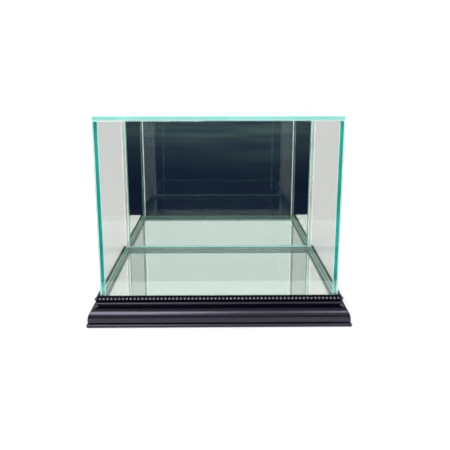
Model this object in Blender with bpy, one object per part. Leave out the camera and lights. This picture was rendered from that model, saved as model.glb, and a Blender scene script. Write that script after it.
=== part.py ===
"""Glass display case: a lift-off glass cover with a mirrored back, standing on a mirror
floor that is framed by a mitred black moulding with a row of small beads along its top.

Metres, +Z up, the front faces -Y. The origin is under the middle of the case, on the
surface that the case stands on.
"""
import math

import bmesh
import bpy
from mathutils import Vector

# ---------------------------------------------------------------- driving dimensions
COVER_W = 0.2100          # outside of the glass cover, along X
COVER_D = 0.1600          # outside of the glass cover, along Y
OVERALL_H = 0.1826        # from the table to the top of the cover
FLOOR_Z = 0.0250          # top of the mirror floor
GLASS_T = 0.0040          # clear panes
MIRROR_T = 0.0028         # glass of the two mirrors
SILVER_T = 0.0003         # silvering with its backing film
BOARD_T = 0.0180          # board under the mirror floor
GAP = 0.0003              # between pieces that touch
ARRIS = 0.0004            # ground edge of a pane
FLOOR_MARGIN = 0.0008     # mirror floor and board reach this far past the cover

# ---------------------------------------------------------------- moulding, as (out, z)
# "out" is the distance outwards from the cover's outer face.
RAIL_IN = FLOOR_MARGIN + GAP
RAIL_OUT = 0.0115
RAIL_Z = 0.0003           # underside, held off the table by the bumpers
LIP_W = 0.00055           # thin lip beside the mirror floor, at its top
LIP_LEAN = 0.0006         # its outer side leans back by this much
LIP_Z = 0.0264            # the lip stands a little above the floor and keeps the cover in place
SEAT_Z = 0.0226           # ledge that the bead strip is glued to
SEAT_OUT = 0.0035
UPPER_GROOVE = ((0.0027, 0.0221), (0.0020, 0.0212))    # back walls of the grooves over and
LOWER_GROOVE = ((0.0028, 0.0188), (0.0020, 0.0170))    # under the nosing
NOSING_C = (0.0035, 0.01995)
NOSING_R = 0.00115
NOSING_HALF_ARC = math.radians(75)
NOSING_STEPS = 10
ROUND_C = (0.00146, 0.0080)    # big round, which runs into the flatter flank below it
ROUND_R = 0.0087
ROUND_TOP = math.radians(76)
ROUND_STEPS = 16
FLANK_TOP = math.radians(12)
FLANK_R = 0.0180
FLANK_BOTTOM = math.radians(-3)
FLANK_STEPS = 6
UNDER_R = 0.0022          # small round under the flank
UNDER_BOTTOM = math.radians(-42)
UNDER_STEPS = 4
FOOT_TOP_Z = 0.00335       # upper edge of the rounded foot below the flank
FOOT_R = 0.0015
FOOT_BOTTOM = math.radians(-30)
FOOT_TOE = ((0.0111, 0.0006), (0.0108, RAIL_Z))
FOOT_GROOVE_OUT = 0.0092
FOOT_STEPS = 8
RAIL_SHARP = math.radians(30)     # edges of the moulding that turn more stay sharp

BEAD_R = 0.0012
BEAD_PITCH = 0.0034       # nearest pitch that divides the run evenly is used
BEAD_OUT = 0.0034         # bead row's centre line
BEAD_Z = SEAT_Z + GAP + BEAD_R
BEAD_NECK_R = 0.0007      # rod between two beads
BEAD_WEB = 0.0008         # half width of the strip's flat underside
BEAD_ANGLES = (0, 60, 120, 180)
BEAD_SHARP = math.radians(75)

BUMPER_R = 0.0060
BUMPER_TAPER = 0.9        # radius of its lower face, as a share of BUMPER_R
BUMPER_SIDES = 28
BUMPER_SHARP = math.radians(40)
BUMPER_INSET = 0.0140     # bumper's centre, in from the cover's corner

NAIL_LEG = 0.0030         # one wing of a V-nail, along the wood
NAIL_HALF_T = 0.00025
NAIL_H = 0.0060
NAIL_OUTS = {"inner": 0.0036, "outer": 0.0080}    # where each nail crosses the mitre

# ---------------------------------------------------------------- derived sizes
HALF_W = COVER_W / 2
HALF_D = COVER_D / 2
WALL_Z0 = FLOOR_Z + GAP
WALL_Z1 = OVERALL_H - GLASS_T - GAP
MIRROR_FRONT_Y = HALF_D - SILVER_T - GAP - MIRROR_T
SILVER_TOP_Z = FLOOR_Z - MIRROR_T - GAP
BOARD_TOP_Z = SILVER_TOP_Z - SILVER_T - GAP
BOARD_Z = BOARD_TOP_Z - BOARD_T
CORNERS = {"front_left": (-1, -1), "front_right": (1, -1), "back_left": (-1, 1), "back_right": (1, 1)}

# ---------------------------------------------------------------- colours
CLEAR = dict(color=(0.80, 0.93, 0.90), roughness=0.02, metallic=0.0)
MIRROR_GLASS = dict(color=(0.72, 0.86, 0.82), roughness=0.02, metallic=0.0)
SILVER = dict(color=(0.86, 0.89, 0.88), roughness=0.03, metallic=1.0)
BLACK_WOOD = dict(color=(0.010, 0.010, 0.012), roughness=0.28, metallic=0.0)
BLACK_BEAD = dict(color=(0.014, 0.013, 0.016), roughness=0.20, metallic=0.0)
FIBREBOARD = dict(color=(0.30, 0.20, 0.12), roughness=0.85, metallic=0.0)
RUBBER = dict(color=(0.03, 0.03, 0.03), roughness=0.70, metallic=0.0)
STEEL = dict(color=(0.55, 0.55, 0.56), roughness=0.35, metallic=1.0)


def clear_scene():
    for old in list(bpy.data.objects):
        bpy.data.objects.remove(old, do_unlink=True)


def material(name, color, roughness, metallic):
    mat = bpy.data.materials.get(name) or bpy.data.materials.new(name)
    mat.use_nodes = True
    shader = mat.node_tree.nodes["Principled BSDF"]
    shader.inputs["Base Color"].default_value = (*color, 1.0)
    shader.inputs["Roughness"].default_value = roughness
    shader.inputs["Metallic"].default_value = metallic
    mat.diffuse_color = (*color, 1.0)
    return mat


def add_object(name, bm, location, parent, look):
    """Turn a bmesh into a named object with its own material."""
    bmesh.ops.recalc_face_normals(bm, faces=bm.faces)
    mesh = bpy.data.meshes.new(name)
    bm.to_mesh(mesh)
    bm.free()
    obj = bpy.data.objects.new(name, mesh)
    bpy.context.scene.collection.objects.link(obj)
    obj.location = location
    obj.parent = parent
    if look:
        mesh.materials.append(material(name, **look))
    return obj


def add_empty(name):
    empty = bpy.data.objects.new(name, None)
    bpy.context.scene.collection.objects.link(empty)
    return empty


def slab(name, low, high, parent, look, arris=ARRIS):
    """Flat pane or board between two corners, with ground edges."""
    low = Vector(low)
    high = Vector(high)
    bm = bmesh.new()
    bmesh.ops.create_cube(bm, size=1.0)
    bmesh.ops.scale(bm, vec=high - low, verts=bm.verts)
    obj = add_object(name, bm, (low + high) / 2, parent, look)
    if arris:
        bevel = obj.modifiers.new("ground_edge", "BEVEL")
        bevel.width = arris
        bevel.segments = 1
    return obj


def arc(centre, radius, start, end, steps):
    angles = (start + (end - start) * i / steps for i in range(steps + 1))
    return [(centre[0] + radius * math.cos(a), centre[1] + radius * math.sin(a)) for a in angles]


def tangent_centre(centre, radius, next_radius, angle):
    """Centre of the arc that goes on from another one at the angle, in the same direction."""
    step = radius - next_radius
    return centre[0] + step * math.cos(angle), centre[1] + step * math.sin(angle)


def rail_outline():
    """Closed section of the moulding, from its inner lip outwards and down."""
    lip_out = RAIL_IN + LIP_W
    flank_c = tangent_centre(ROUND_C, ROUND_R, FLANK_R, FLANK_TOP)
    under_c = tangent_centre(flank_c, FLANK_R, UNDER_R, FLANK_BOTTOM)
    foot_c = (RAIL_OUT - FOOT_R, FOOT_TOP_Z - FOOT_R)
    outline = [(RAIL_IN, RAIL_Z), (RAIL_IN, LIP_Z), (lip_out, LIP_Z), (lip_out + LIP_LEAN, SEAT_Z)]
    outline += [(SEAT_OUT, SEAT_Z), *UPPER_GROOVE]
    outline += arc(NOSING_C, NOSING_R, NOSING_HALF_ARC, -NOSING_HALF_ARC, NOSING_STEPS)
    outline += LOWER_GROOVE
    outline += arc(ROUND_C, ROUND_R, ROUND_TOP, FLANK_TOP, ROUND_STEPS)
    outline += arc(flank_c, FLANK_R, FLANK_TOP, FLANK_BOTTOM, FLANK_STEPS)[1:]
    outline += arc(under_c, UNDER_R, FLANK_BOTTOM, UNDER_BOTTOM, UNDER_STEPS)[1:]
    outline += [(FOOT_GROOVE_OUT, FOOT_TOP_Z)]
    outline += arc(foot_c, FOOT_R, math.pi / 2, FOOT_BOTTOM, FOOT_STEPS)
    outline += FOOT_TOE
    return outline


def mitred_rail(name, half_run, half_across, turn, parent):
    """One side of the frame. It runs along its own X, with its show face towards -Y."""
    mitre_shift = GAP / 2 * math.sqrt(2)
    bm = bmesh.new()
    rings = []
    for end in (-1, 1):
        ring = []
        for out, z in rail_outline():
            along = end * (half_run + out - mitre_shift)
            ring.append(bm.verts.new((along, -half_across - out, z)))
        bm.faces.new(ring)
        rings.append(ring)
    count = len(rings[0])
    for i in range(count):
        j = (i + 1) % count
        bm.faces.new((rings[0][i], rings[0][j], rings[1][j], rings[1][i]))
    rail = add_object(name, bm, (0, 0, 0), parent, BLACK_WOOD)
    rail.rotation_euler = (0, 0, turn)
    rail.data.shade_smooth()
    rail.data.set_sharp_from_angle(angle=RAIL_SHARP)
    return rail


def bead_ring(bm, along, across, radius):
    """Section of the bead strip: a rounded top on a flat web."""
    ring = []
    for angle in BEAD_ANGLES:
        a = math.radians(angle)
        point = (along, across + radius * math.cos(a), BEAD_Z + radius * math.sin(a))
        ring.append(bm.verts.new(point))
    for side in (-1, 1):
        ring.append(bm.verts.new((along, across + side * min(BEAD_WEB, radius), BEAD_Z - BEAD_R)))
    return ring


def bead_strip(name, half_run, half_across, turn, owns_corners, parent):
    """Strip of beads on the ledge of one rail. Front and back strips own the corner beads."""
    corner = half_run + BEAD_OUT
    steps = round(2 * corner / BEAD_PITCH)
    pitch = 2 * corner / steps
    first, last = (0, steps) if owns_corners else (1, steps - 1)
    end = corner + BEAD_R if owns_corners else corner - BEAD_R - GAP
    stations = [(-end, BEAD_NECK_R)]
    for i in range(first, last + 1):
        stations.append((-corner + i * pitch, BEAD_R))
        if i < last:
            stations.append((-corner + (i + 0.5) * pitch, BEAD_NECK_R))
    stations.append((end, BEAD_NECK_R))
    bm = bmesh.new()
    rings = [bead_ring(bm, along, -half_across - BEAD_OUT, radius) for along, radius in stations]
    for near, far in zip(rings, rings[1:]):
        for i in range(len(near)):
            j = (i + 1) % len(near)
            bm.faces.new((near[i], near[j], far[j], far[i]))
    bm.faces.new(rings[0])
    bm.faces.new(rings[-1])
    strip = add_object(name, bm, (0, 0, 0), parent, BLACK_BEAD)
    strip.rotation_euler = (0, 0, turn)
    strip.data.shade_smooth()
    strip.data.set_sharp_from_angle(angle=BEAD_SHARP)
    return strip


def v_prism(name, corner, out, grow, z0, z1, parent, look):
    """V-shaped plate across a mitre, apex outwards, each wing parallel to one rail's run."""
    half_t = NAIL_HALF_T + grow
    leg = NAIL_LEG + grow
    bm = bmesh.new()
    plan = [(half_t, half_t), (-leg, half_t), (-leg, -half_t)]
    plan += [(-half_t, -half_t), (-half_t, -leg), (half_t, -leg)]
    lower = [bm.verts.new((x, y, z0)) for x, y in plan]
    upper = [bm.verts.new((x, y, z1)) for x, y in plan]
    bm.faces.new(lower)
    bm.faces.new(upper)
    for i in range(len(plan)):
        j = (i + 1) % len(plan)
        bm.faces.new((lower[i], lower[j], upper[j], upper[i]))
    sx, sy = corner
    bmesh.ops.scale(bm, vec=(sx, sy, 1), verts=bm.verts)
    return add_object(name, bm, (sx * (HALF_W + out), sy * (HALF_D + out), 0), parent, look)


def cut_slot(rails, cutter):
    cutter.hide_render = True
    cutter.display_type = "WIRE"
    for rail in rails:
        cut = rail.modifiers.new(cutter.name, "BOOLEAN")
        cut.operation = "DIFFERENCE"
        cut.object = cutter


def add_base(parent):
    reach_x = HALF_W + FLOOR_MARGIN
    reach_y = HALF_D + FLOOR_MARGIN
    slab("platform_board", (-reach_x, -reach_y, BOARD_Z), (reach_x, reach_y, BOARD_TOP_Z),
         parent, FIBREBOARD)
    slab("mirror_floor_silvering", (-reach_x, -reach_y, SILVER_TOP_Z - SILVER_T),
         (reach_x, reach_y, SILVER_TOP_Z), parent, SILVER, arris=0)
    slab("mirror_floor", (-reach_x, -reach_y, FLOOR_Z - MIRROR_T), (reach_x, reach_y, FLOOR_Z),
         parent, MIRROR_GLASS)

    sides = {
        "front": (HALF_W, HALF_D, 0.0),
        "right": (HALF_D, HALF_W, math.pi / 2),
        "back": (HALF_W, HALF_D, math.pi),
        "left": (HALF_D, HALF_W, -math.pi / 2),
    }
    rails = {}
    for side, (half_run, half_across, turn) in sides.items():
        rails[side] = mitred_rail("rail_" + side, half_run, half_across, turn, parent)
        bead_strip("bead_trim_" + side, half_run, half_across, turn, side in ("front", "back"), parent)

    for corner_name, corner in CORNERS.items():
        pair = [rails[side] for side in corner_name.split("_")]
        for place, out in NAIL_OUTS.items():
            name = "v_nail_" + corner_name + "_" + place
            top = RAIL_Z + NAIL_H
            v_prism(name, corner, out, 0.0, RAIL_Z, top, parent, STEEL)
            slot = v_prism("slot_" + name, corner, out, GAP, RAIL_Z - GAP, top + GAP, parent, None)
            cut_slot(pair, slot)
        add_bumper("bumper_" + corner_name, corner, parent)


def add_bumper(name, corner, parent):
    """Stick-on rubber bumper under the board, a little narrower where it stands."""
    height = BOARD_Z - GAP
    bm = bmesh.new()
    bmesh.ops.create_cone(bm, cap_ends=True, segments=BUMPER_SIDES, radius1=BUMPER_R * BUMPER_TAPER,
                          radius2=BUMPER_R, depth=height)
    place = (corner[0] * (HALF_W - BUMPER_INSET), corner[1] * (HALF_D - BUMPER_INSET), height / 2)
    bumper = add_object(name, bm, place, parent, RUBBER)
    bumper.data.shade_smooth()
    bumper.data.set_sharp_from_angle(angle=BUMPER_SHARP)


def add_cover(parent):
    """Top over four walls; the front pane and the mirror cover the ends of the side panes."""
    front_y = -HALF_D + GLASS_T
    side_y0 = front_y + GAP
    side_y1 = MIRROR_FRONT_Y - GAP
    slab("glass_top", (-HALF_W, -HALF_D, OVERALL_H - GLASS_T), (HALF_W, HALF_D, OVERALL_H), parent, CLEAR)
    slab("glass_front", (-HALF_W, -HALF_D, WALL_Z0), (HALF_W, front_y, WALL_Z1), parent, CLEAR)
    slab("glass_left", (-HALF_W, side_y0, WALL_Z0), (-HALF_W + GLASS_T, side_y1, WALL_Z1), parent, CLEAR)
    slab("glass_right", (HALF_W - GLASS_T, side_y0, WALL_Z0), (HALF_W, side_y1, WALL_Z1), parent, CLEAR)
    slab("mirror_back", (-HALF_W, MIRROR_FRONT_Y, WALL_Z0), (HALF_W, MIRROR_FRONT_Y + MIRROR_T, WALL_Z1),
         parent, MIRROR_GLASS)
    slab("mirror_back_silvering", (-HALF_W, HALF_D - SILVER_T, WALL_Z0), (HALF_W, HALF_D, WALL_Z1),
         parent, SILVER, arris=0)


def main():
    clear_scene()
    add_base(add_empty("base"))
    add_cover(add_empty("cover"))


main()
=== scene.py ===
"""Looks of the glass display case: clear panes with blue-green edges, a mirrored back and
floor, and a black lacquered moulding with a row of beads, on a pale studio sweep.

Metres, +Z up, the front faces -Y. Places come from the CAD nodes' boxes.
"""
import math

import bmesh
import bpy
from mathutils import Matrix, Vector, noise


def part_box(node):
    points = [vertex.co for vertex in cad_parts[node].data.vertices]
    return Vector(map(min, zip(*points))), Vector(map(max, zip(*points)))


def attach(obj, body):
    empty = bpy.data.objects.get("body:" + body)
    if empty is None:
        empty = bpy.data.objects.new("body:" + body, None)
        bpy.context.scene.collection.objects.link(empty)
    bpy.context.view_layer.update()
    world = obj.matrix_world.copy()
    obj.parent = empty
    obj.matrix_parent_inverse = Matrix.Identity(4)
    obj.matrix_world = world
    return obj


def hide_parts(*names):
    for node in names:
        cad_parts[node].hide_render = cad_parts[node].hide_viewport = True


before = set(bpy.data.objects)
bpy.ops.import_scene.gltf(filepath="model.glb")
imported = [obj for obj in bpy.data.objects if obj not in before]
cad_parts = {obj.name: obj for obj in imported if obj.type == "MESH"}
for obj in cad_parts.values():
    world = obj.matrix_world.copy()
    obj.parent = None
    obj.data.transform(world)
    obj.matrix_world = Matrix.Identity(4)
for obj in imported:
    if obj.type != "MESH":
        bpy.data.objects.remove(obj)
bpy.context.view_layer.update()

MM = 0.001

# ---------------------------------------------------------------- sizes read from the frame
TOP_LOW, TOP_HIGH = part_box("glass_top")
FLOOR_LOW, FLOOR_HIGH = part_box("mirror_floor")
RAIL_LOW, RAIL_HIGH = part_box("rail_front")
HALF_W = TOP_HIGH.x
HALF_D = TOP_HIGH.y
FLOOR_Z = FLOOR_HIGH.z
RAIL_Z = RAIL_LOW.z
RAIL_OUT = -HALF_D - RAIL_LOW.y
RAIL_IN = -HALF_D - RAIL_HIGH.y

# ---------------------------------------------------------------- moulding, as (out, z)
# "out" is the distance outwards from the cover's outer face, as in the CAD moulding.
LIP_W = 0.55 * MM           # at the top; its outer side leans back by LIP_LEAN
LIP_LEAN = 0.6 * MM
LIP_Z = RAIL_HIGH.z
SEAT_Z = 22.6 * MM
SEAT_OUT = 3.5 * MM
UPPER_GROOVE = ((2.7 * MM, 22.1 * MM), (2.0 * MM, 21.2 * MM))      # back wall of each groove
LOWER_GROOVE = ((2.8 * MM, 18.8 * MM), (2.0 * MM, 17.0 * MM))
NOSING_C = (3.5 * MM, 19.95 * MM)
NOSING_R = 1.15 * MM
NOSING_HALF_ARC = math.radians(80)
ROUND_C = (1.46 * MM, 8.0 * MM)        # big round, which runs into the flatter flank below it
ROUND_R = 8.7 * MM
ROUND_TOP = math.radians(76)
FLANK_TOP = math.radians(12)
FLANK_R = 18.0 * MM
FLANK_BOTTOM = math.radians(-3)
UNDER_R = 2.2 * MM          # small round under the flank
UNDER_BOTTOM = math.radians(-42)
FOOT_TOP_Z = 3.35 * MM
FOOT_R = 1.5 * MM
FOOT_BOTTOM = math.radians(-30)
FOOT_TOE = ((11.1 * MM, 0.6 * MM), (10.8 * MM, RAIL_Z))
FOOT_GROOVE_OUT = 9.2 * MM
EASE = 0.25 * MM            # small rounding of the moulding's sharp corners
MITRE_GAP = 0.12 * MM
RAIL_STATIONS = 72
RECESS_STRIPS = range(4, 9)     # strips of the section round the lip's outer wall and the seat, which take a duller copy of the lacquer: painted shade
WOBBLE = 0.03 * MM

BEAD_R = 1.2 * MM           # of the flattened bead's round outline
BEAD_FLAT_R = 0.6 * MM      # half its thickness
BEAD_TILT = math.radians(38)
BEAD_PITCH = 3.4 * MM
BEAD_OUT = 3.4 * MM
BEAD_Z = SEAT_Z + 1.6 * MM
BEAD_NECK_R = 0.3 * MM
BEAD_WEB = 0.5 * MM         # half width of the web under the beads
BEAD_WEB_END = 0.9 * MM     # the web goes on this far past the last bead's middle
BEAD_WEB_Z = SEAT_Z + 0.3 * MM
BEAD_WEB_H = 0.5 * MM

EDGE_LINE_W = 1.3 * MM      # part of a pane's edge nearest the case's inside, painted bright from inside the glass: painted light
ARRIS = 0.5 * MM
PAINTED_FLOOR_LIGHT_Z = (FLOOR_Z + 5 * MM, FLOOR_Z + 10 * MM)   # where the low end of an upright edge is painted lighter: painted light from the bright floor below
BOND_INSET = 0.4 * MM       # clear joints end this far inside the panes' edges


# ---------------------------------------------------------------- material helpers
class Nodes:
    """A fresh material's node tree, with short ways to add and join nodes."""

    def __init__(self, name):
        self.material = bpy.data.materials.new(name)
        self.material.use_nodes = True
        self.tree = self.material.node_tree
        self.tree.nodes.clear()
        self.output = self.add("ShaderNodeOutputMaterial")

    def add(self, kind, **settings):
        node = self.tree.nodes.new(kind)
        for key, value in settings.items():
            setattr(node, key, value)
        return node

    def join(self, source, target):
        self.tree.links.new(source, target)

    def set(self, node, **values):
        for key, value in values.items():
            socket = node.inputs[key.replace("_", " ")]
            if isinstance(value, bpy.types.NodeSocket):
                self.join(value, socket)
            else:
                socket.default_value = value
        return node

    def principled(self, **values):
        return self.set(self.add("ShaderNodeBsdfPrincipled"), **values)

    def finish(self, shader):
        self.join(shader, self.output.inputs["Surface"])
        return self.material

    def coordinates(self, scale=(1, 1, 1)):
        place = self.add("ShaderNodeTexCoord")
        mapping = self.add("ShaderNodeMapping")
        mapping.inputs["Scale"].default_value = scale
        self.join(place.outputs["Object"], mapping.inputs["Vector"])
        return mapping.outputs["Vector"]

    def noise(self, scale, detail=3.0, roughness=0.55, stretch=(1, 1, 1)):
        texture = self.add("ShaderNodeTexNoise")
        self.join(self.coordinates(stretch), texture.inputs["Vector"])
        self.set(texture, Scale=scale, Detail=detail, Roughness=roughness)
        return texture.outputs["Fac"]

    def ramp(self, value, low, high, start=0.3, end=0.7):
        """Number between low and high as value goes from start to end."""
        node = self.add("ShaderNodeMapRange")
        self.join(value, node.inputs["Value"])
        for key, number in zip(("From Min", "From Max", "To Min", "To Max"), (start, end, low, high)):
            node.inputs[key].default_value = number
        return node.outputs["Result"]

    def colours(self, value, first, second, start=0.3, end=0.7):
        """Colour between first and second as value goes from start to end."""
        node = self.add("ShaderNodeValToRGB")
        node.color_ramp.elements[0].position = start
        node.color_ramp.elements[0].color = (*first, 1)
        node.color_ramp.elements[1].position = end
        node.color_ramp.elements[1].color = (*second, 1)
        self.join(value, node.inputs["Fac"])
        return node.outputs["Color"]

    def math(self, operation, first, second):
        node = self.add("ShaderNodeMath", operation=operation)
        for socket, value in zip(node.inputs, (first, second)):
            if isinstance(value, bpy.types.NodeSocket):
                self.join(value, socket)
            else:
                socket.default_value = value
        return node.outputs[0]

    def bump(self, height, distance, strength=1.0, under=None):
        node = self.add("ShaderNodeBump")
        self.set(node, Height=height, Distance=distance, Strength=strength)
        if under:
            self.join(under, node.inputs["Normal"])
        return node.outputs["Normal"]


# ---------------------------------------------------------------- materials
def clear_face(name, tint, slant_tint, both_faces, most):
    """Polished face of a pane: see-through, darker where it is seen at a slant, and glossy on
    its outer side. With both_faces the reflection is that of the pane's two faces together."""
    n = Nodes(name)
    slant = n.add("ShaderNodeLayerWeight")
    slant.inputs["Blend"].default_value = 0.5
    see = n.add("ShaderNodeBsdfTransparent")
    n.join(n.colours(slant.outputs["Facing"], tint, slant_tint, 0.45, 0.80), see.inputs["Color"])
    gloss = n.add("ShaderNodeBsdfGlossy")
    smears = n.ramp(n.noise(26, 4, 0.6, (1, 1, 0.6)), 0.0, 0.035, 0.5, 0.85)
    n.set(gloss, Color=(1, 1, 1, 1), Roughness=smears)
    fresnel = n.add("ShaderNodeFresnel")
    fresnel.inputs["IOR"].default_value = 1.52
    reflected = fresnel.outputs["Fac"]
    if both_faces:
        reflected = n.math("DIVIDE", n.math("MULTIPLY", reflected, 2.0), n.math("ADD", reflected, 1.0))
    outside = n.math("SUBTRACT", 1.0, n.add("ShaderNodeNewGeometry").outputs["Backfacing"])
    share = n.math("MULTIPLY", n.math("MINIMUM", reflected, most), outside)
    mix = n.add("ShaderNodeMixShader")
    n.join(share, mix.inputs[0])
    n.join(see.outputs[0], mix.inputs[1])
    n.join(gloss.outputs[0], mix.inputs[2])
    return n.finish(mix.outputs[0])


def glass_edge(name, deep, light, inner, gloss=0.5, roughness=0.10, low=None):
    """Edge of a pane, where the glass's own blue-green gathers. From inside the glass it
    shows the inner colour, lit from both sides; the pale inner colours of the rear ends, of the
    strips nearest the case's inside and of the bright arrises are painted light, standing for the
    lit backdrop and joints seen through the edge. Low down it can turn to the low colour,
    painted light from the bright floor below."""
    n = Nodes(name)
    drift = n.noise(34, 3, 0.5)
    grind = n.noise(900, 2, 0.5, (0.08, 0.08, 0.08))
    body = n.colours(drift, deep, light, 0.35, 0.68)
    # painted light: near the floor the edge turns to the lighter low colour, standing for light from the
    # floor below
    if low:
        place = n.add("ShaderNodeSeparateXYZ")
        n.join(n.coordinates(), place.inputs[0])
        painted_floor_light = n.add("ShaderNodeMix", data_type="RGBA")
        n.join(n.ramp(place.outputs["Z"], 1.0, 0.0, *PAINTED_FLOOR_LIGHT_Z), painted_floor_light.inputs["Factor"])
        n.join(body, painted_floor_light.inputs[6])
        painted_floor_light.inputs[7].default_value = (*low, 1)
        body = painted_floor_light.outputs[2]
    shader = n.principled(
        Base_Color=body,
        Roughness=n.ramp(grind, roughness * 0.7, roughness * 1.4),
        IOR=1.52,
        Specular_IOR_Level=gloss,
        Normal=n.bump(grind, 0.02 * MM, 0.3),
    )
    through = n.add("ShaderNodeBsdfTranslucent")
    lit = n.add("ShaderNodeBsdfDiffuse")
    # the inner colour is painted; the pale ones are painted light from the backdrop and joints beyond the
    # edge
    inner_colour = n.colours(n.noise(75, 3, 0.6), tuple(0.8 * c for c in inner), inner, 0.35, 0.60)
    n.join(inner_colour, through.inputs["Color"])
    n.join(inner_colour, lit.inputs["Color"])
    within = n.add("ShaderNodeAddShader")
    n.join(through.outputs[0], within.inputs[0])
    n.join(lit.outputs[0], within.inputs[1])
    sides = n.add("ShaderNodeMixShader")
    n.join(n.add("ShaderNodeNewGeometry").outputs["Backfacing"], sides.inputs[0])
    n.join(shader.outputs[0], sides.inputs[1])
    n.join(within.outputs[0], sides.inputs[2])
    return n.finish(sides.outputs[0])


def silver():
    n = Nodes("mirror_silver")
    cloud = n.noise(9, 3, 0.5)
    shader = n.principled(
        Base_Color=n.colours(cloud, (0.825, 0.865, 0.84), (0.845, 0.885, 0.86)),
        Metallic=1.0,
        Roughness=n.ramp(cloud, 0.004, 0.016),
    )
    return n.finish(shader.outputs[0])


def backing():
    """Grey paint and film on the outer side of a mirror."""
    n = Nodes("mirror_backing")
    roller = n.noise(60, 4, 0.6, (0.25, 1, 1))
    peel = n.noise(700, 2, 0.5)
    shader = n.principled(
        Base_Color=n.colours(roller, (0.20, 0.215, 0.225), (0.25, 0.265, 0.275)),
        Roughness=n.ramp(roller, 0.42, 0.58),
        Normal=n.bump(peel, 0.03 * MM, 0.5, n.bump(roller, 0.05 * MM, 0.4)),
    )
    return n.finish(shader.outputs[0])


def black_lacquer(name, roughness, ior, along):
    """Black lacquer over a moulded wood rail: faint long grain, slow ripple and dust. Where it
    is seen at a slant its gloss gives way to a dark diffuse colour: painted shade."""
    n = Nodes(name)
    grain = n.noise(420, 5, 0.65, along)
    ripple = n.noise(150, 2, 0.4)
    specks = n.noise(2600, 1, 0.5)
    body = n.colours(grain, (0.0008, 0.0006, 0.0034), (0.0022, 0.0018, 0.0062))
    dust = n.add("ShaderNodeMix", data_type="RGBA")
    n.join(n.ramp(specks, 0.0, 0.35, 0.70, 0.80), dust.inputs["Factor"])
    n.join(body, dust.inputs[6])
    dust.inputs[7].default_value = (0.03, 0.028, 0.036, 1)
    shader = n.principled(
        Base_Color=dust.outputs[2],
        Roughness=n.ramp(n.noise(120, 4, 0.6, along), roughness * 0.8, roughness * 1.3),
        IOR=ior,
        Specular_Tint=(0.84, 0.82, 1.0, 1),
        Normal=n.bump(ripple, 0.12 * MM, 0.8, n.bump(grain, 0.02 * MM, 0.35)),
    )
    # painted shade: at a slant the gloss is swapped for a dark diffuse colour
    slant = n.add("ShaderNodeLayerWeight")
    slant.inputs["Blend"].default_value = 0.5
    painted_slant_shade = n.add("ShaderNodeBsdfDiffuse")
    painted_slant_shade.inputs["Color"].default_value = (0.004, 0.0035, 0.006, 1)
    mix = n.add("ShaderNodeMixShader")
    n.join(n.ramp(slant.outputs["Facing"], 0.0, 0.88, 0.60, 0.80), mix.inputs[0])
    n.join(shader.outputs[0], mix.inputs[1])
    n.join(painted_slant_shade.outputs[0], mix.inputs[2])
    return n.finish(mix.outputs[0])


def fibreboard():
    n = Nodes("fibreboard")
    fibre = n.noise(900, 6, 0.75)
    mottle = n.noise(90, 4, 0.6)
    base = n.colours(fibre, (0.20, 0.125, 0.070), (0.42, 0.29, 0.18))
    shade = n.add("ShaderNodeMix", data_type="RGBA", blend_type="MULTIPLY")
    shade.inputs["Factor"].default_value = 0.5
    n.join(base, shade.inputs[6])
    n.join(n.colours(mottle, (0.72, 0.68, 0.62), (1, 1, 1)), shade.inputs[7])
    shader = n.principled(
        Base_Color=shade.outputs[2],
        Roughness=0.86,
        Normal=n.bump(fibre, 0.12 * MM, 0.5),
    )
    return n.finish(shader.outputs[0])


def rubber():
    n = Nodes("bumper_rubber")
    grain = n.noise(1500, 3, 0.6)
    shader = n.principled(
        Base_Color=n.colours(grain, (0.018, 0.018, 0.019), (0.034, 0.034, 0.035)),
        Roughness=n.ramp(grain, 0.55, 0.8),
        Normal=n.bump(grain, 0.03 * MM, 0.5),
    )
    return n.finish(shader.outputs[0])


def nail_steel():
    n = Nodes("nail_steel")
    brushed = n.noise(1800, 3, 0.6, (1, 1, 0.05))
    shader = n.principled(
        Base_Color=n.colours(brushed, (0.42, 0.42, 0.43), (0.60, 0.60, 0.61)),
        Metallic=1.0,
        Roughness=n.ramp(brushed, 0.25, 0.45),
        Normal=n.bump(brushed, 0.01 * MM, 0.4),
    )
    return n.finish(shader.outputs[0])


def cured_bond():
    """Clear adhesive in the joints of the panes, pale where it catches light."""
    n = Nodes("clear_bond")
    flow = n.noise(240, 3, 0.5)
    shader = n.principled(
        Base_Color=n.colours(flow, (0.62, 0.86, 0.82), (0.80, 0.95, 0.92)),
        Roughness=n.ramp(flow, 0.08, 0.2),
        IOR=1.49,
        Alpha=0.03,
    )
    return n.finish(shader.outputs[0])


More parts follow.
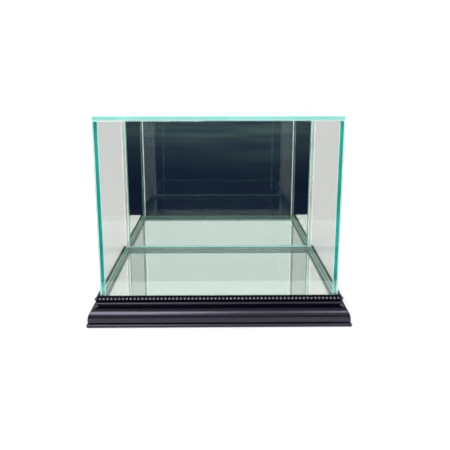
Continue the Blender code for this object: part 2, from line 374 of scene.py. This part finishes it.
PANE_TINT = (0.972, 0.990, 0.980)
PANE_SLANT_TINT = (0.838, 0.830, 0.815)
MIRROR_GLASS_TINT = (0.992, 0.998, 0.995)
DEEP_TEAL = ((0.006, 0.260, 0.222), (0.024, 0.375, 0.325))
# painted light from the floor below, for the low ends of the upright edges
PAINTED_FLOOR_LIGHT_TEAL = (0.15, 0.60, 0.50)
PALE_GREEN = ((0.55, 0.74, 0.68), (0.66, 0.84, 0.78))
ARRIS_GREEN = ((0.40, 0.78, 0.76), (0.54, 0.86, 0.84))
BOTTOM_GREEN = ((0.04, 0.10, 0.08), (0.10, 0.19, 0.15))
DIM_INNER = (0.03, 0.05, 0.05)
# painted backdrop light, shown from inside at the rear ends of the side panes
PAINTED_BACKDROP_INNER = (0.84, 0.74, 0.75)
LOOK = {
    "face": clear_face("clear_glass_face", PANE_TINT, PANE_SLANT_TINT, True, 0.16),
    "top_face": clear_face("clear_glass_top_face", PANE_TINT, PANE_TINT, True, 0.78),
    "mirror_face": clear_face("mirror_glass_face", MIRROR_GLASS_TINT, MIRROR_GLASS_TINT, False, 1.0),
    # The inner colours of edge_line, edge_pale, pale_line and the bright and pale arrises are painted light:
    # the lit backdrop and joints seen through the glass.
    "edge": glass_edge("glass_edge_deep", *DEEP_TEAL, DIM_INNER, 0.1, low=PAINTED_FLOOR_LIGHT_TEAL),
    "edge_line": glass_edge("glass_edge_line", *DEEP_TEAL, (0.72, 0.70, 0.72), 0.1, low=PAINTED_FLOOR_LIGHT_TEAL),
    "edge_light": glass_edge("glass_edge_light", (0.19, 0.43, 0.38), (0.25, 0.52, 0.47), (0.25, 0.38, 0.34)),
    "edge_pale": glass_edge("glass_edge_pale", *PALE_GREEN, PAINTED_BACKDROP_INNER),
    "pale_line": glass_edge("glass_edge_pale_line", *PALE_GREEN, (0.95, 1.0, 0.97)),
    "edge_bottom": glass_edge("glass_edge_bottom", *BOTTOM_GREEN, (0.11, 0.21, 0.15)),
    "arris": glass_edge("glass_arris", *ARRIS_GREEN, (0.42, 0.56, 0.52)),
    "arris_bright": glass_edge("glass_arris_bright", *ARRIS_GREEN, (0.92, 1.0, 0.97)),
    "arris_dim": glass_edge("glass_arris_dim", *ARRIS_GREEN, DIM_INNER),
    "arris_pale": glass_edge("glass_arris_pale", *ARRIS_GREEN, PAINTED_BACKDROP_INNER),
    "silver": silver(),
    "backing": backing(),
    "lacquer_x": black_lacquer("black_lacquer_x", 0.21, 1.6, (0.12, 1, 1)),
    "lacquer_y": black_lacquer("black_lacquer_y", 0.21, 1.6, (1, 0.12, 1)),
    "bead": black_lacquer("black_lacquer_bead", 0.28, 2.35, (1, 1, 1)),
    # a duller, less glossy copy of the lacquer for the recesses, the web and the necks: painted shade
    "recess_painted_shade": black_lacquer("black_lacquer_recess", 0.6, 1.2, (1, 1, 1)),
    "fibreboard": fibreboard(),
    "rubber": rubber(),
    "steel": nail_steel(),
    "bond": cured_bond(),
}


# ---------------------------------------------------------------- mesh helpers
def add_piece(name, bm, looks, body, replaces=()):
    """Make a piece from a bmesh, with its materials in order, riding on a body."""
    bmesh.ops.recalc_face_normals(bm, faces=bm.faces)
    mesh = bpy.data.meshes.new(name)
    bm.to_mesh(mesh)
    bm.free()
    for look in looks:
        mesh.materials.append(LOOK[look])
    piece = bpy.data.objects.new(name, mesh)
    bpy.context.scene.collection.objects.link(piece)
    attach(piece, body)
    if replaces:
        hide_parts(*replaces)
    return piece


def smooth(piece, degrees):
    piece.data.shade_smooth()
    piece.data.set_sharp_from_angle(angle=math.radians(degrees))


def box_mesh(low, high, ease, segments):
    bm = bmesh.new()
    bmesh.ops.create_cube(bm, size=1.0)
    bmesh.ops.scale(bm, vec=high - low, verts=bm.verts)
    bmesh.ops.translate(bm, vec=(low + high) / 2, verts=bm.verts)
    if ease:
        bmesh.ops.bevel(bm, geom=list(bm.edges), offset=ease, segments=segments, affect="EDGES", profile=0.5)
    return bm


def pane(node, face_look, edge_looks, body, inside=1, line_looks=None):
    """A pane in place of its CAD node. edge_looks gives the look of the edge on each side, by
    its outward direction, such as "-x"; the two large faces take face_look. line_looks is for
    the part of an edge nearest the case's inside, which is up (1) or down (-1) the thin axis;
    that part is painted bright, as painted light."""
    low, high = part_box(node)
    size = high - low
    thin = min(range(3), key=lambda axis: size[axis])
    cut = (high if inside > 0 else low)[thin] - inside * EDGE_LINE_W
    line_looks = line_looks or {}
    bm = box_mesh(low, high, ARRIS, 2)
    if line_looks:
        point, normal = Vector(), Vector()
        point[thin], normal[thin] = cut, 1
        everything = bm.verts[:] + bm.edges[:] + bm.faces[:]
        bmesh.ops.bisect_plane(bm, geom=everything, plane_co=point, plane_no=normal)
    bm.normal_update()
    used = set(edge_looks.values()) | set(line_looks.values()) | {"arris"}
    if line_looks:
        used |= {"arris_bright", "arris_dim", "arris_pale"}
    looks = [face_look] + sorted(used - {face_look})
    for face in bm.faces:
        axis = max(range(3), key=lambda i: abs(face.normal[i]))
        near_inside = (face.calc_center_median()[thin] - cut) * inside > 0
        if abs(face.normal[axis]) < 0.995:
            look = arris_look(face.normal, face_look, edge_looks, near_inside if line_looks else None)
        elif axis != thin:
            side = ("-" if face.normal[axis] < 0 else "+") + "xyz"[axis]
            look = line_looks.get(side, edge_looks[side]) if near_inside else edge_looks[side]
        else:
            look = face_look
        face.material_index = looks.index(look)
    return add_piece("pane_" + node, bm, looks, body, (node,))


def arris_look(normal, face_look, edge_looks, near_inside):
    """Look of a ground corner. near_inside is None on panes whose corners all look alike."""
    side = "-z" if normal.z < -0.2 else "+z" if normal.z > 0.2 else None
    if edge_looks.get(side) == face_look:
        return face_look
    if near_inside is None or side:
        return "arris"
    if near_inside:
        return "arris_bright"
    return "arris_dim" if normal.y < 0 else "arris_pale"


def silvering(node, out_axis, out_sign, body):
    """Silver on the side that the glass covers, grey film on the others."""
    low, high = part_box(node)
    bm = box_mesh(low, high, 0, 0)
    bm.normal_update()
    for face in bm.faces:
        bright = face.normal[out_axis] * out_sign < -0.99
        face.material_index = 0 if bright else 1
    return add_piece("coat_" + node, bm, ["silver", "backing"], body, (node,))


# ---------------------------------------------------------------- the cover
def add_cover():
    all_light = {side: "edge_light" for side in ("-x", "+x", "-y", "+y")}
    pane("glass_top", "top_face", all_light, "cover")
    front_edges = {"-x": "edge", "+x": "edge", "-z": "face", "+z": "face"}
    pane("glass_front", "face", front_edges, "cover")
    side_edges = {"-y": "edge", "+y": "edge_pale", "-z": "edge_bottom", "+z": "edge_light"}
    side_lines = {"-y": "edge_line", "+y": "pale_line"}
    pane("glass_left", "face", side_edges, "cover", 1, side_lines)
    pane("glass_right", "face", side_edges, "cover", -1, side_lines)
    mirror_edges = {"-x": "edge", "+x": "edge", "-z": "edge_light", "+z": "edge_light"}
    pane("mirror_back", "mirror_face", mirror_edges, "cover")
    silvering("mirror_back_silvering", 1, 1, "cover")
    add_bonds()


def bond_strip(name, low, high):
    bm = box_mesh(Vector(low), Vector(high), 0.06 * MM, 1)
    piece = add_piece(name, bm, ["bond"], "cover")
    smooth(piece, 40)


def add_bonds():
    """Thin clear joints: side panes to front pane and mirror, and the top pane to the walls."""
    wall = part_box("glass_left")
    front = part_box("glass_front")
    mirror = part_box("mirror_back")
    glass = wall[1].x - wall[0].x
    for name, sign in (("left", -1), ("right", 1)):
        x0, x1 = sorted((sign * (HALF_W - BOND_INSET), sign * (HALF_W - glass + BOND_INSET)))
        for joint, y0, y1 in (("front", front[1].y, wall[0].y), ("mirror", wall[1].y, mirror[0].y)):
            bond_strip(f"bond_{name}_{joint}", (x0, y0, wall[0].z + BOND_INSET),
                       (x1, y1, wall[1].z - BOND_INSET))
        bond_strip(f"bond_top_{name}", (x0, wall[0].y + BOND_INSET, wall[1].z),
                   (x1, wall[1].y - BOND_INSET, TOP_LOW.z))
    for name, low, high in (("front", front[0].y, front[1].y), ("mirror", mirror[0].y, mirror[1].y)):
        bond_strip(f"bond_top_{name}", (-HALF_W + BOND_INSET, low + BOND_INSET, wall[1].z),
                   (HALF_W - BOND_INSET, high - BOND_INSET, TOP_LOW.z))


# ---------------------------------------------------------------- the base
def arc(centre, radius, start, end, steps):
    angles = (start + (end - start) * i / steps for i in range(steps + 1))
    return [(centre[0] + radius * math.cos(a), centre[1] + radius * math.sin(a)) for a in angles]


def tangent_centre(centre, radius, next_radius, angle):
    """Centre of the arc that goes on from another one at the angle, in the same direction."""
    step = radius - next_radius
    return centre[0] + step * math.cos(angle), centre[1] + step * math.sin(angle)


def rail_outline():
    """Closed section of the moulding, from its inner lip outwards and down."""
    lip_out = RAIL_IN + LIP_W
    flank_c = tangent_centre(ROUND_C, ROUND_R, FLANK_R, FLANK_TOP)
    under_c = tangent_centre(flank_c, FLANK_R, UNDER_R, FLANK_BOTTOM)
    foot_c = (RAIL_OUT - FOOT_R, FOOT_TOP_Z - FOOT_R)
    outline = [(RAIL_IN, RAIL_Z), (RAIL_IN, LIP_Z - EASE / 2), (RAIL_IN + EASE / 2, LIP_Z)]
    outline += [(lip_out - EASE / 2, LIP_Z), (lip_out, LIP_Z - EASE / 2), (lip_out + LIP_LEAN, SEAT_Z)]
    outline += [(SEAT_OUT, SEAT_Z), *UPPER_GROOVE]
    outline += arc(NOSING_C, NOSING_R, NOSING_HALF_ARC, -NOSING_HALF_ARC, 14)
    outline += LOWER_GROOVE
    outline += arc(ROUND_C, ROUND_R, ROUND_TOP, FLANK_TOP, 30)
    outline += arc(flank_c, FLANK_R, FLANK_TOP, FLANK_BOTTOM, 12)[1:]
    outline += arc(under_c, UNDER_R, FLANK_BOTTOM, UNDER_BOTTOM, 8)[1:]
    outline += [(FOOT_GROOVE_OUT, FOOT_TOP_Z)]
    outline += arc(foot_c, FOOT_R, math.pi / 2, FOOT_BOTTOM, 14)
    outline += FOOT_TOE
    return outline


def place(along, across, z, side):
    """Point in the row frame from a rail's own run, its distance outwards and height."""
    run, reach = (HALF_W, HALF_D) if side in ("front", "back") else (HALF_D, HALF_W)
    out = reach + across
    turned = {"front": (along, -out), "right": (out, along), "back": (-along, out), "left": (-out, -along)}
    x, y = turned[side]
    return Vector((x, y, z))


def add_rail(side):
    """One side of the moulding, swept between its two mitres with a slight unevenness."""
    half_run = HALF_W if side in ("front", "back") else HALF_D
    outline = rail_outline()
    bm = bmesh.new()
    rings = []
    for i in range(RAIL_STATIONS + 1):
        s = 2 * i / RAIL_STATIONS - 1
        ring = []
        for out, z in outline:
            along = s * (half_run + out - MITRE_GAP * 0.7)
            point = place(along, out, z, side)
            wobble = noise.noise(point * 40) * WOBBLE * (1 - s ** 8)
            if out > RAIL_IN + LIP_W and z > RAIL_Z + MM:
                point = place(along, out + min(wobble, 0), z + wobble, side)
            ring.append(bm.verts.new(point))
        rings.append(ring)
    bm.faces.new(rings[0])
    bm.faces.new(rings[-1])
    count = len(outline)
    for near, far in zip(rings, rings[1:]):
        for i in range(count):
            j = (i + 1) % count
            face = bm.faces.new((near[i], near[j], far[j], far[i]))
            # the recess strips take the duller lacquer copy: painted shade
            face.material_index = 1 if i in RECESS_STRIPS else 0
    look = "lacquer_x" if side in ("front", "back") else "lacquer_y"
    piece = add_piece("moulding_" + side, bm, [look, "recess_painted_shade"], "base", ("rail_" + side,))
    smooth(piece, 32)


def bead_template(half_thickness):
    """Points (along, out, up) and faces of one bead whose round outline faces outwards and up."""
    bm = bmesh.new()
    bmesh.ops.create_uvsphere(bm, u_segments=20, v_segments=14, radius=1.0)
    points = []
    for vert in bm.verts:
        along, across, thick = vert.co.x * BEAD_R, vert.co.y * BEAD_R, vert.co.z * half_thickness
        out = thick * math.cos(BEAD_TILT) - across * math.sin(BEAD_TILT)
        up = thick * math.sin(BEAD_TILT) + across * math.cos(BEAD_TILT)
        points.append((along, out, up))
    faces = [[vert.index for vert in face.verts] for face in bm.faces]
    bm.free()
    return points, faces


def add_beads(side):
    """Row of pressed beads on a flat web, with a short neck between each two. The beads at
    the corners, which show from two sides, are balls."""
    half_run = HALF_W if side in ("front", "back") else HALF_D
    owns_corners = side in ("front", "back")
    corner = half_run + BEAD_OUT
    steps = round(2 * corner / BEAD_PITCH)
    pitch = 2 * corner / steps
    first, last = (0, steps) if owns_corners else (1, steps - 1)
    flat, faces = bead_template(BEAD_FLAT_R)
    ball = bead_template(BEAD_R)[0]
    bm = bmesh.new()
    for i in range(first, last + 1):
        middle = -corner + i * pitch
        points = ball if abs(middle) > half_run + BEAD_R else flat
        size = 1 + 0.025 * noise.noise(place(middle, BEAD_OUT, BEAD_Z, side) * 900)
        verts = [bm.verts.new(place(middle + along * size, BEAD_OUT + out * size, BEAD_Z + up * size, side))
                 for along, out, up in points]
        for face in faces:
            bm.faces.new([verts[k] for k in face])
    bead_faces = len(bm.faces)
    start = -corner + first * pitch
    end = -corner + last * pitch
    add_rod(bm, start, end, BEAD_NECK_R, side)
    add_block(bm, [place(along, BEAD_OUT + across, BEAD_WEB_Z + up, side)
                   for along in (start - BEAD_WEB_END, end + BEAD_WEB_END)
                   for across in (-BEAD_WEB, BEAD_WEB) for up in (0, BEAD_WEB_H)])
    bm.faces.ensure_lookup_table()
    # the web and the necks take the duller lacquer copy: painted shade
    for face in bm.faces[bead_faces:]:
        face.material_index = 1
    piece = add_piece("beads_" + side, bm, ["bead", "recess_painted_shade"], "base", ("bead_trim_" + side,))
    smooth(piece, 50)


def add_rod(bm, start, end, radius, side, around=12):
    """Straight rod through the middles of the beads."""
    rings = []
    for along in (start, end):
        ring = []
        for k in range(around):
            angle = 2 * math.pi * k / around
            across, up = radius * math.cos(angle), radius * math.sin(angle)
            ring.append(bm.verts.new(place(along, BEAD_OUT + across, BEAD_Z + up, side)))
        rings.append(ring)
    bm.faces.new(rings[0])
    bm.faces.new(rings[1])
    for k in range(around):
        j = (k + 1) % around
        bm.faces.new((rings[0][k], rings[0][j], rings[1][j], rings[1][k]))


def add_block(bm, corners):
    """Closed block through eight corners, ordered by run, then width, then height."""
    verts = [bm.verts.new(c) for c in corners]
    for a, b, c, d in ((0, 1, 3, 2), (4, 6, 7, 5), (0, 4, 5, 1), (2, 3, 7, 6), (0, 2, 6, 4), (1, 5, 7, 3)):
        bm.faces.new((verts[a], verts[b], verts[c], verts[d]))


def add_bumper(name):
    """Stick-on rubber bumper: straight wall, domed shoulder and a flat face to stand on."""
    low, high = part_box(name)
    centre = (low + high) / 2
    radius = (high.x - low.x) / 2
    flat = radius * 0.62
    height = high.z - low.z
    profile = [(0.0, high.z), (radius - 0.3 * MM, high.z), (radius, high.z - 0.3 * MM)]
    for i in range(9):
        a = math.pi / 2 * i / 8
        profile.append((flat + (radius - flat) * math.cos(a), low.z + height * 0.75 * (1 - math.sin(a))))
    profile.append((0.0, low.z))
    bm = bmesh.new()
    edges = []
    verts = [bm.verts.new((centre.x + r, centre.y, z)) for r, z in profile]
    for a, b in zip(verts, verts[1:]):
        edges.append(bm.edges.new((a, b)))
    bmesh.ops.spin(bm, geom=verts + edges, cent=(centre.x, centre.y, 0), axis=(0, 0, 1),
                   angle=2 * math.pi, steps=40, use_merge=True)
    bmesh.ops.remove_doubles(bm, verts=bm.verts, dist=1e-6)
    piece = add_piece("foot_" + name, bm, ["rubber"], "base", (name,))
    smooth(piece, 45)


def dress_node(name, look):
    """Give a carried-over CAD node its detailed material."""
    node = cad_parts[name]
    node.data.materials.clear()
    node.data.materials.append(LOOK[look])


def add_base():
    floor_edges = {side: "edge_light" for side in ("-x", "+x", "-y", "+y")}
    pane("mirror_floor", "mirror_face", floor_edges, "base")
    silvering("mirror_floor_silvering", 2, -1, "base")
    for side in ("front", "right", "back", "left"):
        add_rail(side)
        add_beads(side)
    dress_node("platform_board", "fibreboard")
    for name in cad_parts:
        if name.startswith("v_nail_"):
            dress_node(name, "steel")
        if name.startswith("bumper_"):
            add_bumper(name)


# ---------------------------------------------------------------- studio
def stage_mesh(name, verts, faces, material):
    mesh = bpy.data.meshes.new(name)
    mesh.from_pydata(verts, [], faces)
    mesh.materials.append(material)
    obj = bpy.data.objects.new(name, mesh)
    bpy.context.scene.collection.objects.link(obj)
    return obj


def add_sweep():
    """Pale table that curves up into the backdrop behind the case."""
    n = Nodes("studio_paper")
    fibre = n.noise(300, 3, 0.6)
    paper = n.principled(
        Base_Color=n.colours(fibre, (0.86, 0.86, 0.865), (0.88, 0.88, 0.885)),
        Roughness=0.9,
        Specular_IOR_Level=0.2,
    )
    material = n.finish(paper.outputs[0])
    half = 4.0
    bend_y = 1.6
    bend_r = 1.2
    line = [(-4.0, 0.0), (bend_y, 0.0)]
    line += [(bend_y + bend_r * math.sin(a), bend_r * (1 - math.cos(a)))
             for a in (math.radians(7.5 * i) for i in range(1, 13))]
    line.append((bend_y + bend_r, 4.0))
    verts = [(x, y, z) for y, z in line for x in (-half, half)]
    faces = [(2 * i, 2 * i + 1, 2 * i + 3, 2 * i + 2) for i in range(len(line) - 1)]
    sweep = stage_mesh("studio_sweep", verts, faces, material)
    sweep.data.shade_smooth()


def emitter(name, first, second, near=None):
    """Cloudy glow between two colours, which fades to near beside the table."""
    n = Nodes(name)
    glow = n.add("ShaderNodeEmission")
    colour = n.colours(n.noise(2.2, 3, 0.5), first, second, 0.38, 0.66)
    if near:
        place = n.add("ShaderNodeSeparateXYZ")
        n.join(n.coordinates(), place.inputs[0])
        fade = n.add("ShaderNodeMix", data_type="RGBA")
        n.join(n.ramp(place.outputs["Y"], 0.0, 1.0, -1.6, -0.5), fade.inputs["Factor"])
        n.join(colour, fade.inputs[6])
        fade.inputs[7].default_value = (*near, 1)
        colour = fade.outputs[2]
    n.set(glow, Color=colour, Strength=1.0)
    return n.finish(glow.outputs[0])


def add_card(name, verts, faces, first, second, near=None):
    """Part of the room round the case that only its reflections show."""
    card = stage_mesh(name, verts, faces, emitter(name, first, second, near))
    card.visible_camera = False
    card.visible_diffuse = False
    card.visible_transmission = False
    card.visible_shadow = False


def add_room():
    """What the mirrors and the lacquer reflect: the unlit end of the room in front of the
    table, a lit strip of wall over it, and then the dim wall and ceiling."""
    table_front = -0.19
    far = -3.0
    half = 3.2
    lift = 0.001
    dark_z, dim_z, ceiling_z = 0.72, 1.42, 1.9
    end = [(-half, table_front, lift), (half, table_front, lift), (-half, far, lift), (half, far, lift),
           (-half, far, dark_z), (half, far, dark_z)]
    add_card("unlit_room", end, [(0, 1, 3, 2), (2, 3, 5, 4)],
             (0.026, 0.046, 0.074), (0.075, 0.110, 0.110), (0.008, 0.014, 0.036))
    back = 1.6
    over = [(-half, far, dim_z), (half, far, dim_z), (-half, far, ceiling_z), (half, far, ceiling_z),
            (-half, back, ceiling_z), (half, back, ceiling_z)]
    add_card("dim_ceiling", over, [(0, 1, 3, 2), (2, 3, 5, 4)], (0.40, 0.40, 0.48), (0.46, 0.46, 0.56))


def add_light(name, location, target, size, energy, color=(1, 1, 1)):
    light = bpy.data.lights.new(name, "AREA")
    light.shape = "RECTANGLE"
    light.size, light.size_y = size
    light.energy = energy
    light.color = color
    obj = bpy.data.objects.new(name, light)
    bpy.context.scene.collection.objects.link(obj)
    obj.location = location
    obj.rotation_euler = (Vector(target) - Vector(location)).to_track_quat("-Z", "Y").to_euler()
    obj.visible_camera = False
    return obj


def add_studio():
    world = bpy.data.worlds.new("studio_air")
    world.use_nodes = True
    air = world.node_tree.nodes["Background"]
    air.inputs["Color"].default_value = (0.985, 0.99, 1.0, 1)
    air.inputs["Strength"].default_value = 1.0
    bpy.context.scene.world = world
    add_sweep()
    add_room()
    aim = (0, -0.09, 0.01)
    add_light("key_left", (-0.36, -1.08, 1.10), aim, (0.66, 0.80), 8.6)
    add_light("key_right", (0.60, -1.05, 1.15), aim, (0.34, 0.5), 3.2)
    add_light("fill", (0, -1.35, 1.55), aim, (2.6, 0.8), 10.0)
    backdrop = add_light("backdrop", (0, 1.2, 1.9), (0, 2.3, 0.2), (3.0, 0.8), 15.0)
    backdrop.visible_glossy = False


def add_camera():
    """Camera in front of the case, a little above its top, looking down at it."""
    data = bpy.data.cameras.new("camera")
    data.sensor_width = 36
    data.lens = 48.32
    camera = bpy.data.objects.new("camera", data)
    bpy.context.scene.collection.objects.link(camera)
    camera.location = (-0.0018, -HALF_D - 0.5043, TOP_HIGH.z + 0.0312)
    pitch = math.radians(13.80)
    yaw = math.radians(0.77)
    camera.rotation_euler = (math.pi / 2 - pitch, 0, -yaw)
    data.clip_start = 0.01
    data.clip_end = 50
    bpy.context.scene.camera = camera


def set_light_paths():
    """Rays cross up to a dozen clear faces between the mirrors and the room."""
    scene = bpy.context.scene
    scene.view_settings.view_transform = "Standard"
    scene.cycles.max_bounces = 16
    scene.cycles.glossy_bounces = 12
    scene.cycles.transparent_max_bounces = 48


add_cover()
add_base()
add_studio()
add_camera()
set_light_paths()
